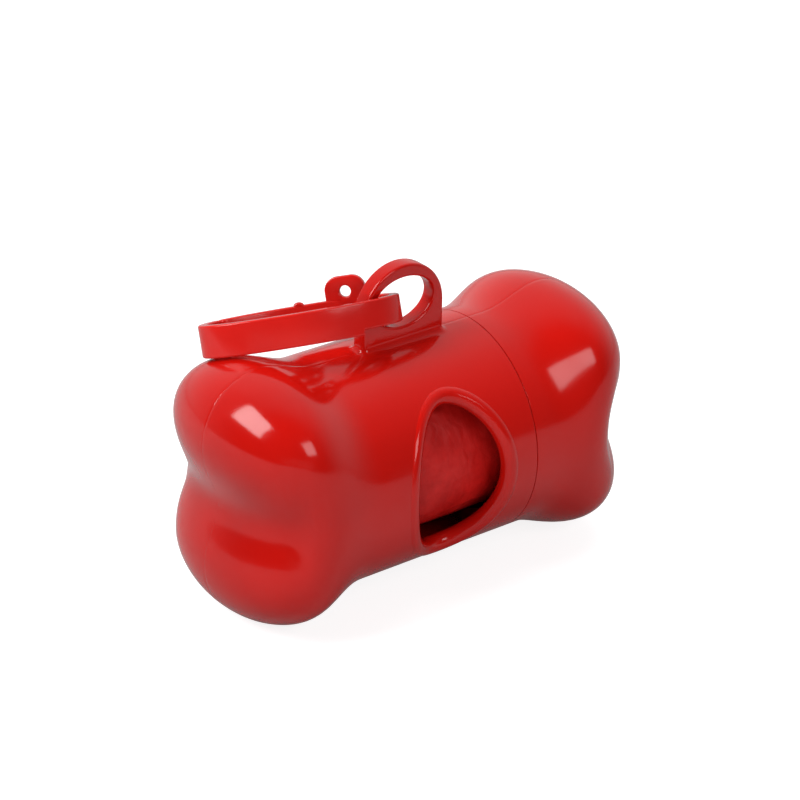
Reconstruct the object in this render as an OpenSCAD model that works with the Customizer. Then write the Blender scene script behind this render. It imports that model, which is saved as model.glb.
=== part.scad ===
// Bone-shaped pocket dispenser for a roll of dog waste bags.
// X runs along the bone with the pull-off cap at +X, the dispensing opening faces -Y and +Z is up.
// The origin is at the middle of the bone, on the surface that it stands on.

/* [Bone body] */
// Outer radius of the round middle
body_r = 20.5; // [19.5:0.1:24]
// Half length of the round middle, before it blends into the ends
barrel_half = 30; // [29.6:0.1:34]
// Rounding of the edge where the round middle ends inside the lobes
barrel_edge = 5; // [3:0.1:5.4]
// Distance from the middle of the bone to the centre of each end lobe
lobe_x = 31.6; // [30.5:0.1:36]
// Height of each lobe's centre above or below the bone's axis
lobe_z = 11.4; // [11:0.1:12.5]
// Lobe radius along the bone
lobe_rx = 10.7; // [10.3:0.1:14]
// Lobe radius from front to back
lobe_ry = 19; // [18:0.1:22]
// Lobe radius in height
lobe_rz = 11.7; // [11.4:0.1:13.5]
// Softness of the valley between an upper and a lower lobe, at the end of the bone
lobe_blend = 9; // [5:0.1:10]
// How much softer that valley is at the front and the back
valley_fill = 6; // [0:0.5:8]
// Softness of the joint between the lobes and the round middle
barrel_blend = 5.5; // [4:0.1:6]
// Thickness of the shells
wall = 1.8; // [1.4:0.1:2.2]
// Depth of the small flats that the lobes stand on
foot_flat = 0.2; // [0.1:0.05:0.5]

/* [Dispensing opening] */
// Place of the opening along the bone
open_x = -1.6; // [-3:0.1:0]
// Clear width of the opening
open_w = 18.8; // [16:0.1:20]
// Clear height of the opening
open_h = 28; // [22:0.5:29]
// Radius of the rolled rim round the opening
rim_r = 1.6; // [1.2:0.1:2]

/* [Lug] */
// Place of the lug along the bone
lug_x = -0.9; // [-3:0.1:1]
// Half width of the arched lug
lug_r = 8.7; // [8:0.05:10]
// Height of the lug's top above the bone's axis
lug_top = 35.1; // [34.5:0.1:38]
// Thickness of the lug from front to back
lug_t = 3.2; // [2.8:0.1:3.6]
// Rounding of the lug's edges
lug_edge = 0.9; // [0.5:0.1:1]
// Half width of the oval hole
lug_hole_rx = 6.5; // [6.2:0.05:6.8]
// Half height of the oval hole
lug_hole_rz = 4.6; // [4.4:0.05:4.9]
// Height of the hole's centre above the bone's axis
lug_hole_z = 28.1; // [27.8:0.1:28.4]
// Radius of the fillet between the lug and the body
lug_root = 1; // [0.5:0.1:2]

/* [Cap and neck] */
// Place of the seam between housing and cap
seam_x = 14.6; // [13:0.1:17]
// How far the neck reaches into the housing
neck_root = 3; // [2:0.1:3.2]
// How far the spigot stands out of the housing
spigot_l = 7.5; // [5:0.5:9]
// Thickness of the spigot wall
spigot_t = 1.4; // [1.1:0.1:1.6]
// Thickness of the collar in the cap
collar_t = 1.1; // [0.9:0.1:1.3]
// Extra length of the collar past the spigot
collar_extra = 1; // [0.6:0.1:2]
// Radial clearance between spigot and collar
cap_fit = 0.1; // [0.08:0.01:0.2]
// Height of the two grip beads on the spigot
bead_h = 0.05; // [0.02:0.01:0.06]
// Axial gap at the seam
seam_gap = 0.2; // [0.1:0.05:0.4]
// Gap that holds the glue round the neck and the collar
glue_gap = 0.1; // [0.08:0.01:0.2]

/* [Bag roll] */
// Difference between the neck's bore and the wound bags, in radius
roll_slack = 1.2; // [0.8:0.1:4]
// Length of the roll
roll_l = 58; // [50:1:58]
// Outer radius of the core tube
core_r = 6.5; // [5:0.1:8]
// Wall of the core tube
core_wall = 0.8; // [0.5:0.1:1.2]
// How far the core tube stands out of the bags at each end
core_proud = 0.2; // [0:0.05:0.3]
// Clearance under the roll where it lies in the neck
roll_gap = 0.5; // [0.2:0.05:0.7]

/* [Clip] */
// Half length of the clip's oval, at the middle of its strip
clip_a = 16.7; // [16.2:0.1:18]
// Half width of the clip's oval, at the middle of its strip
clip_b = 7.2; // [7:0.1:8]
// Squareness of the clip's oval, where 2 is an ellipse
clip_power = 2.08; // [2:0.02:2.3]
// Thickness of the strip
strip_t = 1.8; // [1.6:0.1:2]
// Height of the strip
strip_h = 5.7; // [5:0.1:6.2]
// Height of the slimmer strip that passes through the lug
neck_h = 4.8; // [4:0.1:5]
// Place along the clip where the slimmer strip begins
neck_at = -9.4; // [-10.5:0.1:-8.5]

/* [Clip gate] */
// Place along the clip of the bend that the gate turns about
gate_root = 12.8; // [12:0.1:13.6]
// Place along the clip where the gate's tip meets the frame
gate_tip = -14.2; // [-14.6:0.1:-13.8]
// Overlap of the two lips at the gate's tip
lap = 1; // [0.8:0.1:1.2]
// Gap round the gate
gate_gap = 0.3; // [0.2:0.05:0.4]
// Place of the perforated tab along the clip
tab_at = -9.2; // [-9.5:0.1:-6]
// Width of the tab
tab_w = 7.2; // [5:0.1:7.4]
// Height of the tab above the strip
tab_h = 4; // [3.6:0.1:6]
// Radius of the tab's upper corners
tab_corner = 2.4; // [0.5:0.1:3]
// Thickness of the tab
tab_t = 1.8; // [1.2:0.1:2]
// Radius of the hole in the tab
tab_hole_r = 1; // [0.6:0.05:1.2]
// Height of the hole's centre above the strip
tab_hole_z = 1.3; // [0.8:0.1:2]
// Place of the small pip on the gate's upper edge
pip_at = -0.8; // [-3:0.1:6]
// Height of the pip
pip_h = 0.5; // [0.2:0.1:1]
// Length of the pip
pip_l = 1.8; // [1:0.1:3]

/* [Spring tongue] */
// Place along the clip where the tongue leaves the strip
tongue_root = 0.2; // [-1:0.1:3]
// Length of the tongue
tongue_l = 6; // [4:0.1:7]
// Thickness of the tongue
tongue_t = 0.9; // [0.7:0.1:1.1]
// Gap between the tongue and the strip outside it
tongue_gap = 0.5; // [0.4:0.05:0.7]
// Thickness of the strip outside the tongue
lip_t = 1; // [0.9:0.1:1.2]

/* [Clip at rest] */
// Turn of the clip about the vertical, away from the bone's axis
clip_yaw = 27; // [24:0.5:30]
// Lean of the clip towards the back
clip_lean = 20.9; // [19:0.1:22]
// Gap between the clip and the lobe that it lies on
rest_gap = 0.2; // [0.15:0.05:0.5]
// Allowance between the clip and the lower edge of the lug's hole
seat_gap = 0.5; // [0.4:0.05:0.7]
// How far the clip's end lies in front of the lug's middle
seat_front = 1.6; // [1.5:0.05:1.8]
// How far the clip's end lies to the left of the lug's middle
seat_left = 1.8; // [1.5:0.05:2]

/* [Hidden] */

shell_red = [0.75, 0.05, 0.04];
inner_red = [0.62, 0.04, 0.03];
core_grey = [0.75, 0.72, 0.66];

// Height of the bone's axis over the surface it stands on
axis_h = lobe_z + lobe_rz - foot_flat;
// A radius that is outside the bone in every direction
bone_reach = lobe_x + lobe_rx + lobe_z + lobe_rz;
halvings = 20;
around = 24;
housing_rings = 38;
cap_rings = 18;
edge_steps = 4;
root_steps = 8;
root_sink = 0.06;

inner_r = body_r - wall;
collar_or = inner_r - glue_gap;
collar_ir = collar_or - collar_t;
spigot_or = collar_ir - cap_fit;
spigot_ir = spigot_or - spigot_t;
roll_r = spigot_ir - roll_slack;
roll_z = axis_h - (roll_slack - roll_gap);

// ---- shape of the bone ----

// Smooth joint of two distances over a width k
function blend(a, b, k) =
  let (h = max(0, min(1, 0.5 + 0.5 * (b - a) / k)))
  b * (1 - h) + a * h - k * h * (1 - h);

// Signed distance to the round middle, made smaller by t
function barrel(p, t) =
  -blend(body_r - t - norm([p.y, p.z]), barrel_half - t - abs(p.x), barrel_edge);

// Signed distance, roughly, to one pair of lobes, upper (side 1) or lower (side -1)
function lobe(p, t, side) =
  (norm([
    (abs(p.x) - lobe_x) / (lobe_rx - t),
    p.y / (lobe_ry - t),
    (p.z - side * lobe_z) / (lobe_rz - t)
  ]) - 1) * (lobe_rx - t);

// Softness of the valley between the lobes at the point p
function valley(p) = lobe_blend + valley_fill * pow(min(1, abs(p.y) / lobe_ry), 2);

// Below zero inside the bone whose surface lies t under the outer one
function bone(p, t) =
  blend(barrel(p, t), blend(lobe(p, t, 1), lobe(p, t, -1), valley(p)), barrel_blend);

// Distance from start to the surface along dir, found by halving
function reach(start, dir, t, near, far, n) =
  let (mid = (near + far) / 2)
  n == 0 ? mid :
  bone(start + mid * dir, t) < 0 ? reach(start, dir, t, mid, far, n - 1) :
  reach(start, dir, t, near, mid, n - 1);

// Place of the shells' rims at the seam, of the housing (end -1) or of the cap (end 1)
function rim_x(end) = end < 0 ? seam_x : seam_x + seam_gap;

// Point of the surface on the ring i of rings and at the place j around a half shell
function skin_point(end, side, rings, i, j, t) =
  let (
    turn = 180 * j / around,
    out = [0, side * sin(turn), cos(turn)],
    edge_r = reach([rim_x(end), 0, 0], out, t, 0, bone_reach, halvings),
    tilt = atan2(edge_r, end * rim_x(end)) * i / rings,
    dir = [end * cos(tilt), 0, 0] + sin(tilt) * out
  )
  i == rings ? [rim_x(end), 0, 0] + edge_r * out :
  dir * reach([0, 0, 0], dir, t, 0, bone_reach, halvings);

// The pole and then the rings of one skin
function skin(end, side, rings, t) = concat(
  [skin_point(end, side, rings, 0, 0, t)],
  [for (i = [1:rings]) for (j = [0:around]) skin_point(end, side, rings, i, j, t)]
);

function flip(faces) = [for (f = faces) [f[0], f[2], f[1]]];

// Faces of one skin whose first point has the index base
function skin_faces(rings, base) = concat(
  [for (j = [0:around - 1]) [base, base + 1 + j, base + 2 + j]],
  [for (i = [1:rings - 1]) for (j = [0:around - 1])
    let (a = base + 1 + (i - 1) * (around + 1) + j, b = a + around + 1)
    each [[a, b, b + 1], [a, b + 1, a + 1]]]
);

// Index of the point on the ring i at the place j of one skin
function at(i, j) = i == 0 ? 0 : 1 + (i - 1) * (around + 1) + j;

// Faces that join the outer and the inner skin at the seam and on the two long edges
function border_faces(rings, inner) = concat(
  [for (j = [0:around - 1])
    let (a = at(rings, j), b = at(rings, j + 1))
    each [[a, inner + a, inner + b], [a, inner + b, b]]],
  [for (i = [0:rings - 1])
    let (a = at(i, 0), b = at(i + 1, 0))
    each [[a, inner + a, inner + b], [a, inner + b, b]]],
  [for (i = [0:rings - 1])
    let (a = at(i, around), b = at(i + 1, around))
    each [[a, inner + b, inner + a], [a, b, inner + b]]]
);

// Half of one end of the bone as a shell: end is -1 for the housing and 1 for the cap,
// side is -1 for the front and 1 for the rear
module half_shell(end, side, rings) {
  outer = skin(end, side, rings, 0);
  inner = skin(end, side, rings, wall);
  faces = concat(
    skin_faces(rings, 0),
    flip(skin_faces(rings, len(outer))),
    border_faces(rings, len(outer))
  );
  translate([0, 0, axis_h])
    polyhedron(points = concat(outer, inner), faces = end * side > 0 ? faces : flip(faces));
}

// Everything under the surface that the bone stands on
module below_ground() {
  translate([-bone_reach, -bone_reach, -bone_reach])
    cube([2 * bone_reach, 2 * bone_reach, bone_reach]);
}

module oval(rx, ry) {
  scale([rx, ry]) circle(r = 1, $fn = 64);
}

// ---- housing ----

// Centre line of the rolled rim, on the round middle
function rim_point(turn) =
  let (
    x = open_x + (open_w / 2 + rim_r) * cos(turn),
    z = (open_h / 2 + rim_r) * sin(turn)
  )
  [x, -sqrt(pow(body_r - rim_r, 2) - z * z), z + axis_h];

module rolled_rim() {
  steps = 44;
  for (i = [0:steps - 1])
    hull() {
      translate(rim_point(360 * i / steps)) sphere(r = rim_r, $fn = 12);
      translate(rim_point(360 * (i + 1) / steps)) sphere(r = rim_r, $fn = 12);
    }
}

// Side view of the lug, made smaller by cut, with its foot inside the shell's wall
module lug_outline(cut) {
  translate([0, lug_top - lug_r]) circle(r = lug_r - cut, $fn = 72);
  translate([cut - lug_r, body_r - wall / 2])
    square([2 * (lug_r - cut), lug_top - lug_r - body_r + wall / 2]);
}

module lug_slab(thick, cut) {
  rotate([90, 0, 0])
    linear_extrude(height = thick, center = true)
      lug_outline(cut);
}

// How far an edge of radius r stands back, and how deep it is, at the step i of its rounding
function edge_in(r, i) = r * (1 - cos(90 * i / edge_steps));
function edge_down(r, i) = r * (1 - sin(90 * i / edge_steps));

// Solid through a stack of ovals, each given as its height and its two radii
module oval_stack(layers) {
  n = 64;
  last = (len(layers) - 1) * n;
  polyhedron(
    points = [for (l = layers) for (i = [0:n - 1])
      [l[1] * cos(360 * i / n), l[2] * sin(360 * i / n), l[0]]],
    faces = concat(
      [[for (i = [0:n - 1]) i]],
      [for (k = [0:n:last - n]) for (i = [0:n - 1])
        let (a = k + i, b = k + (i + 1) % n)
        each [[a, b + n, b], [a, a + n, b + n]]],
      [[for (i = [n - 1:-1:0]) last + i]]
    )
  );
}

// The oval hole with rounded edges
module lug_hole() {
  edge = concat(
    [for (i = [0:edge_steps])
      [lug_t / 2 - edge_down(lug_edge, i), lug_hole_rx + edge_in(lug_edge, i), lug_hole_rz + edge_in(lug_edge, i)]],
    [[lug_t, lug_hole_rx + lug_edge, lug_hole_rz + lug_edge]]
  );
  back = [for (i = [len(edge) - 1:-1:0]) [-edge[i][0], edge[i][1], edge[i][2]]];
  rotate([90, 0, 0]) oval_stack(concat(back, edge));
}

// One layer of the fillet at the lug's foot, at the height up and standing out by grow. Its
// top is sunk a little into the lug, so that no faces coincide.
module root_layer(up, grow) {
  out = grow - root_sink;
  translate([-lug_r - out, -lug_t / 2 - out, body_r - wall / 2])
    cube([2 * (lug_r + out), lug_t + 2 * out, wall / 2 + up]);
}

module lug_fillet() {
  for (i = [0:root_steps - 1]) {
    low = 90 * i / root_steps;
    high = 90 * (i + 1) / root_steps;
    hull() {
      root_layer(lug_root * (1 - sin(low)), lug_root * (1 - cos(low)));
      root_layer(lug_root * (1 - sin(high)), lug_root * (1 - cos(high)));
    }
  }
}

// Half of the lug, in front (side -1) or behind (side 1)
module half_lug(side) {
  translate([lug_x, 0, axis_h])
    difference() {
      union() {
        hull()
          for (i = [0:edge_steps])
            lug_slab(lug_t - 2 * edge_down(lug_edge, i), edge_in(lug_edge, i));
        lug_fillet();
      }
      translate([0, 0, lug_hole_z]) lug_hole();
      translate([-2 * lug_r, side > 0 ? -2 * lug_t : 0, 0])
        cube([4 * lug_r, 2 * lug_t, 2 * lug_top]);
    }
}

module housing_front_shell() {
  color(shell_red) {
    difference() {
      half_shell(-1, -1, housing_rings);
      below_ground();
      translate([open_x, 0, axis_h])
        rotate([90, 0, 0])
          linear_extrude(height = 2 * body_r)
            oval(open_w / 2 + rim_r, open_h / 2 + rim_r);
    }
    rolled_rim();
    half_lug(-1);
  }
}

module housing_rear_shell() {
  color(shell_red)
    difference() {
      union() {
        half_shell(-1, 1, housing_rings);
        half_lug(1);
      }
      below_ground();
    }
}

// Half section of the neck, with the radius first and the place along the bone second
module neck_section() {
  translate([spigot_ir, seam_x - neck_root])
    square([collar_or - spigot_ir, neck_root]);
  translate([spigot_ir, seam_x])
    square([spigot_t, spigot_l]);
  for (share = [0.35, 0.75])
    translate([spigot_or, seam_x + share * spigot_l])
      scale([bead_h, 0.6]) circle(r = 1, $fn = 24);
}

module neck_ring() {
  color(inner_red)
    translate([0, 0, axis_h])
      rotate([0, 90, 0])
        rotate_extrude($fn = 96) neck_section();
}

// ---- cap ----

module cap_front_shell() {
  color(shell_red)
    difference() {
      half_shell(1, -1, cap_rings);
      below_ground();
    }
}

module cap_rear_shell() {
  color(shell_red)
    difference() {
      half_shell(1, 1, cap_rings);
      below_ground();
    }
}

module cap_collar() {
  color(inner_red)
    translate([0, 0, axis_h])
      rotate([0, 90, 0])
        rotate_extrude($fn = 96)
          translate([collar_ir, seam_x + seam_gap])
            square([collar_t, spigot_l + collar_extra]);
}

// ---- bag roll ----

module along_bone(length) {
  translate([-length / 2, 0, roll_z])
    rotate([0, 90, 0])
      linear_extrude(height = length)
        children();
}

module roll_core() {
  color(core_grey)
    along_bone(roll_l + 2 * core_proud)
      difference() {
        circle(r = core_r, $fn = 96);
        circle(r = core_r - core_wall, $fn = 96);
      }
}

module bag_roll() {
  color(inner_red)
    along_bone(roll_l)
      difference() {
        circle(r = roll_r, $fn = 96);
        circle(r = core_r, $fn = 96);
      }
}

// ---- clip, drawn flat with its free end at +X and its gate at -Y ----

half_t = strip_t / 2;
clip_reach = clip_a + clip_b + tab_h;

// Point of the clip's oval that lies out from the middle of the strip
function oval_point(turn, out) =
  let (c = cos(turn), s = sin(turn))
  [
    (clip_a + out) * sign(c) * pow(abs(c), 2 / clip_power),
    (clip_b + out) * sign(s) * pow(abs(s), 2 / clip_power)
  ];

// Turn of the oval's point at the place x along the clip, on the front side
function turn_at(x) = acos(sign(x) * pow(abs(x) / clip_a, clip_power / 2));

module clip_oval(out) {
  polygon([for (i = [0:71]) oval_point(5 * i + 2.5, out)]);
}

// Strip between two distances from its middle line
module band(inside, outside) {
  difference() {
    clip_oval(outside);
    clip_oval(inside);
  }
}

// Everything between two places along the clip, in front (side 1) or behind (side -1)
module span(from, to, side) {
  translate([from, side > 0 ? 0 : -clip_reach])
    square([to - from, clip_reach]);
}

gate_bend = oval_point(-turn_at(gate_root), 0);

// Direction of the strip at the gate's bend
bend_near = oval_point(-turn_at(gate_root - 0.2), 0);
bend_far = oval_point(-turn_at(gate_root + 0.2), 0);
bend_turn = atan2(bend_far.y - bend_near.y, bend_far.x - bend_near.x);

// The gate's stretch of the strip, from its bend to the place tip
module gate_stretch(tip) {
  span(tip, gate_root - 2 * strip_t, -1);
  translate(gate_bend)
    rotate(bend_turn)
      translate([-3 * strip_t, -2 * strip_t]) square([3 * strip_t, 4 * strip_t]);
}

// Middle line of the tongue, which steps inwards from the strip after its root
tongue_in = half_t - lip_t - tongue_gap - tongue_t / 2;
tongue_steps = 16;
tongue_lead = 2;
function tongue_point(i, out) =
  let (
    x = tongue_root + tongue_lead - (tongue_l + tongue_lead) * i / tongue_steps,
    share = max(0, min(1, (tongue_root + tongue_lead - x) / tongue_lead)),
    ease = share * share * (3 - 2 * share),
    start = tongue_t / 2 - half_t + 0.15
  )
  oval_point(turn_at(x), start + (tongue_in - start) * ease + out);

module tongue_outline() {
  polygon(concat(
    [for (i = [0:tongue_steps]) tongue_point(i, -tongue_t / 2)],
    [for (i = [tongue_steps:-1:0]) tongue_point(i, tongue_t / 2)]
  ));
}

module frame_outline() {
  difference() {
    band(-half_t, half_t);
    gate_stretch(gate_tip - gate_gap / 2);
    translate(gate_bend) circle(r = half_t + gate_gap, $fn = 48);
    // The room inside the front strip for the tongue
    intersection() {
      band(-strip_t, half_t - lip_t);
      span(tongue_root - tongue_l - 2 * tongue_gap, tongue_root, 1);
    }
  }
  // Inner lip at the gate's tip
  intersection() {
    band(-half_t, -gate_gap / 2);
    span(gate_tip - gate_gap, gate_tip + lap, -1);
  }
}

module gate_outline() {
  difference() {
    intersection() {
      band(-half_t, half_t);
      gate_stretch(gate_tip + gate_gap / 2);
    }
    // Room for the frame's lip
    intersection() {
      band(-strip_t, gate_gap / 2);
      span(gate_tip - lap, gate_tip + lap + gate_gap, -1);
    }
  }
  translate(gate_bend) circle(r = half_t, $fn = 48);
}

// Along the gate's strip at the place x, standing on its upper edge
module on_gate(x) {
  near = oval_point(-turn_at(x - 0.5), 0);
  far = oval_point(-turn_at(x + 0.5), 0);
  translate([0, 0, strip_h])
    translate(oval_point(-turn_at(x), 0))
      rotate([0, 0, atan2(far.y - near.y, far.x - near.x)])
        children();
}

// Side view of the tab, with its foot in the strip
module tab_outline() {
  flat = tab_w / 2 - tab_corner;
  translate([-tab_w / 2, -1]) square([tab_w, 1 + tab_h - tab_corner]);
  translate([-flat, -1]) square([2 * flat, 1 + tab_h]);
  for (side = [-1, 1])
    translate([side * flat, tab_h - tab_corner]) circle(r = tab_corner, $fn = 48);
}

module upright(thick) {
  rotate([90, 0, 0])
    linear_extrude(height = thick, center = true)
      children();
}

// ---- clip in its place ----

// Turns a point about the clip's end in the lug, which is its lower back corner there
function turned(p, dip) =
  let (
    q = p + [clip_a, 0, 0],
    a = [q.x, q.y * cos(clip_lean) - q.z * sin(clip_lean), q.y * sin(clip_lean) + q.z * cos(clip_lean)],
    b = [a.x * cos(dip) + a.z * sin(dip), a.y, a.z * cos(dip) - a.x * sin(dip)]
  )
  [
    -b.x * cos(clip_yaw) - b.y * sin(clip_yaw),
    b.x * sin(clip_yaw) - b.y * cos(clip_yaw),
    b.z
  ];

clip_seat = [
  lug_x - seat_left,
  -seat_front,
  lug_hole_z - lug_hole_rz + seat_gap + neck_h - strip_h / 2 + (lug_t / 2 + seat_front) * tan(clip_lean)
];

// Smallest distance from the clip's lower edge to the bone with rest_gap round it
function clip_room(dip) =
  min([for (i = [0:71]) for (out = [-half_t, half_t])
    let (p = oval_point(5 * i + 2.5, out))
    bone(clip_seat + turned([p.x, p.y, -strip_h / 2], dip), -rest_gap)]);

// Dip at which the clip's free end lies on the lobe, found by halving
function find_dip(low, high, n) =
  let (mid = (low + high) / 2)
  n == 0 ? mid :
  clip_room(mid) > 0 ? find_dip(mid, high, n - 1) :
  find_dip(low, mid, n - 1);

clip_dip = find_dip(0, 20, halvings);

module place_clip() {
  translate([0, 0, axis_h])
    translate(clip_seat)
      rotate([clip_lean, clip_dip, 180 - clip_yaw])
        translate([clip_a, 0, -strip_h / 2])
          children();
}

module clip_frame() {
  color(shell_red)
    place_clip() {
      difference() {
        linear_extrude(height = strip_h) frame_outline();
        translate([-clip_reach, -clip_reach, -1])
          cube([clip_reach + neck_at, 2 * clip_reach, 1 + strip_h - neck_h]);
      }
      linear_extrude(height = strip_h) tongue_outline();
    }
}

module clip_gate() {
  color(shell_red)
    place_clip()
      difference() {
        union() {
          difference() {
            linear_extrude(height = strip_h) gate_outline();
            translate([-clip_reach, -clip_reach, -1])
              cube([clip_reach + neck_at, 2 * clip_reach, 1 + strip_h - neck_h]);
          }
          on_gate(tab_at) upright(tab_t) tab_outline();
          on_gate(pip_at) upright(tab_t) oval(pip_l / 2, pip_h);
        }
        on_gate(tab_at)
          translate([0, 0, tab_hole_z])
            rotate([90, 0, 0])
              cylinder(h = 3 * strip_t, r = tab_hole_r, center = true, $fn = 48);
      }
}

housing_front_shell();
housing_rear_shell();
neck_ring();
cap_front_shell();
cap_rear_shell();
cap_collar();
roll_core();
bag_roll();
clip_frame();
clip_gate();
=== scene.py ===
from math import acos, atan2, copysign, cos, pi, radians, sin, sqrt

import bmesh
import bpy
import numpy as np
from mathutils import Matrix, Vector, noise
from mathutils.kdtree import KDTree


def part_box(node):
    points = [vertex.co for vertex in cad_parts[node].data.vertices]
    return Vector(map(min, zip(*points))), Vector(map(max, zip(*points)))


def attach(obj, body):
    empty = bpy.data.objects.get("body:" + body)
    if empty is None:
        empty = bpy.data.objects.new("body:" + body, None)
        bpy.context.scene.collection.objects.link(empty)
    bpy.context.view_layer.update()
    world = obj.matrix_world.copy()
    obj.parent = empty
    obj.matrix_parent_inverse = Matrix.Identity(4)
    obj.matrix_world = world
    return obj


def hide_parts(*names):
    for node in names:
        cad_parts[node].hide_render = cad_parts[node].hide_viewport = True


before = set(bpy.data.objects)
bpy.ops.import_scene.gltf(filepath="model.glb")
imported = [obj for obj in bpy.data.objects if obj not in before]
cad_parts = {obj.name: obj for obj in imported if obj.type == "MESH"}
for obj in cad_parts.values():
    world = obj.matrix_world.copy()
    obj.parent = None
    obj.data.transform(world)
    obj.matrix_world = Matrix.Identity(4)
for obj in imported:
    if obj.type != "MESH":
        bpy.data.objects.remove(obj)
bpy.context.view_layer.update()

bl_info = {
    "name": "Bone Bag Dispenser",
    "version": (1, 0, 0),
    "blender": (4, 5, 0),
    "location": "3D View > Sidebar > Dispenser",
    "description": "Bone-shaped dispenser for rolls of dog waste bags, with its lug, clip, cap and roll",
    "category": "Add Mesh",
}

MM = 0.001

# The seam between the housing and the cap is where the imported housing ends
SEAM_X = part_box("housing_front_shell")[1].x
CAP_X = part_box("cap_front_shell")[0].x

# Fineness of the bone's skin, of the rim round the opening and of the roll
SKIN_SEGMENTS, SKIN_RINGS, SKIN_HALVINGS = 192, 220, 40
RIM_STEPS, RIM_SIDES = 160, 28
ROLL_STEPS = 240

# Turns along the clip's oval: between two rows, and over a change of the strip's section
ROW_TURN = 0.03
STEP_TURN = 0.006
# Steps round one rounded corner of the strip
CORNER_STEPS = 5

# How closely the film's folds, creases and crinkles follow each other along and round the roll
FOLDS = (90, 1.6)
CREASES = (330, 5.5)
CRINKLES = (900, 15)
# The film's loose end: its turn about the roll and the height of its step
LOOSE_END_TURN = -2.2
LOOSE_END_STEP = 0.2 * MM

# Lamps: name, azimuth, elevation, distance, width, depth, watts and whether they show in reflections
LAMPS = (
    ("left softbox", -107, 46, 1.15, 0.62, 0.62, 10.5, True),
    ("front softbox", 4, 37, 1.3, 0.55, 0.5, 3.6, True),
    ("overhead softbox", 150, 68, 1.6, 1.6, 1.2, 15, False),
    ("front fill", -30, 8, 1.4, 1.4, 0.3, 7, False),
)
# The white room is brightest in this direction and fades between two cosines and two strengths
ROOM_BRIGHTEST = (0.62, 0.78, -0.1)
ROOM_FADE = {"From Min": -0.45, "From Max": 0.9, "To Min": 0.05, "To Max": 0.7}
# Share of the floor's glow that the glossy plastic mirrors
FLOOR_MIRRORED = 0.08


# ---- sizes and colours a user would change ----


def length(name, description, default_mm, low=0.0, high=100.0):
    return bpy.props.FloatProperty(
        name=name,
        description=description,
        default=default_mm * MM,
        min=low * MM,
        max=high * MM,
        precision=5,
        subtype="DISTANCE",
        unit="LENGTH",
    )


def colour(name, description, default):
    return bpy.props.FloatVectorProperty(
        name=name,
        description=description,
        default=default,
        size=3,
        min=0.0,
        max=1.0,
        subtype="COLOR",
    )


def bearing(name, description, default_degrees):
    return bpy.props.FloatProperty(
        name=name, description=description, default=radians(default_degrees), subtype="ANGLE"
    )


class BoneSizes(bpy.types.PropertyGroup):
    barrel_radius: length("Barrel Radius", "Outer radius of the round middle", 20.5)
    barrel_half: length("Barrel Half Length", "Half length of the round middle", 30.0)
    barrel_edge: length("Barrel Edge", "Rounding of the edge of the round middle inside the lobes", 5.0)
    lobe_x: length("Lobe Place", "Distance of the lobes' centres from the middle", 31.6)
    lobe_z: length("Lobe Height", "Height of the upper lobes' centres over the axis", 11.4)
    lobe_rx: length("Lobe Length", "Half length of a lobe along the bone", 10.7)
    lobe_ry: length("Lobe Depth", "Half depth of a lobe from front to back", 19.0)
    lobe_rz: length("Lobe Rise", "Half height of a lobe", 11.7)
    lobe_blend: length("Valley Blend", "Softness of the valley between two lobes", 9.0)
    valley_fill: length("Valley Fill", "How much softer the valley is at the front and the back", 6.0)
    barrel_blend: length("Waist Blend", "Softness of the step from the middle to the lobes", 5.5)
    foot_flat: length("Foot Flat", "Depth of the flats that the bone stands on", 0.2)
    wall: length("Wall", "Wall of the moulded shells", 1.8)
    parting: length("Parting Edge", "Rounding of the edges along the parting lines", 0.17)
    open_x: length("Opening Place", "Place of the opening along the bone", -1.6, low=-20.0)
    open_w: length("Opening Width", "Width of the opening between its rims", 18.8)
    open_h: length("Opening Height", "Height of the opening between its rims", 28.0)
    rim_r: length("Rim Radius", "Radius of the opening's rolled rim", 1.6)
    rim_proud: length("Rim Rise", "How far the rim stands out of the surface", 0.25)


class LugSizes(bpy.types.PropertyGroup):
    place: length("Place", "Place of the lug along the bone", -0.9, low=-20.0)
    radius: length("Radius", "Half width of the arched lug", 8.7)
    top: length("Top", "Height of the lug's top over the bone's axis", 35.1)
    thick: length("Thickness", "Thickness of the lug from front to back", 3.2)
    edge: length("Edge", "Rounding of the lug's edges", 0.9)
    hole_rx: length("Hole Half Width", "Half width of the oval hole", 6.5)
    hole_rz: length("Hole Half Height", "Half height of the oval hole", 4.6)
    hole_z: length("Hole Height", "Height of the hole's centre over the bone's axis", 28.1)
    root: length("Root Fillet", "Fillet between the lug and the body", 1.3)


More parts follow.
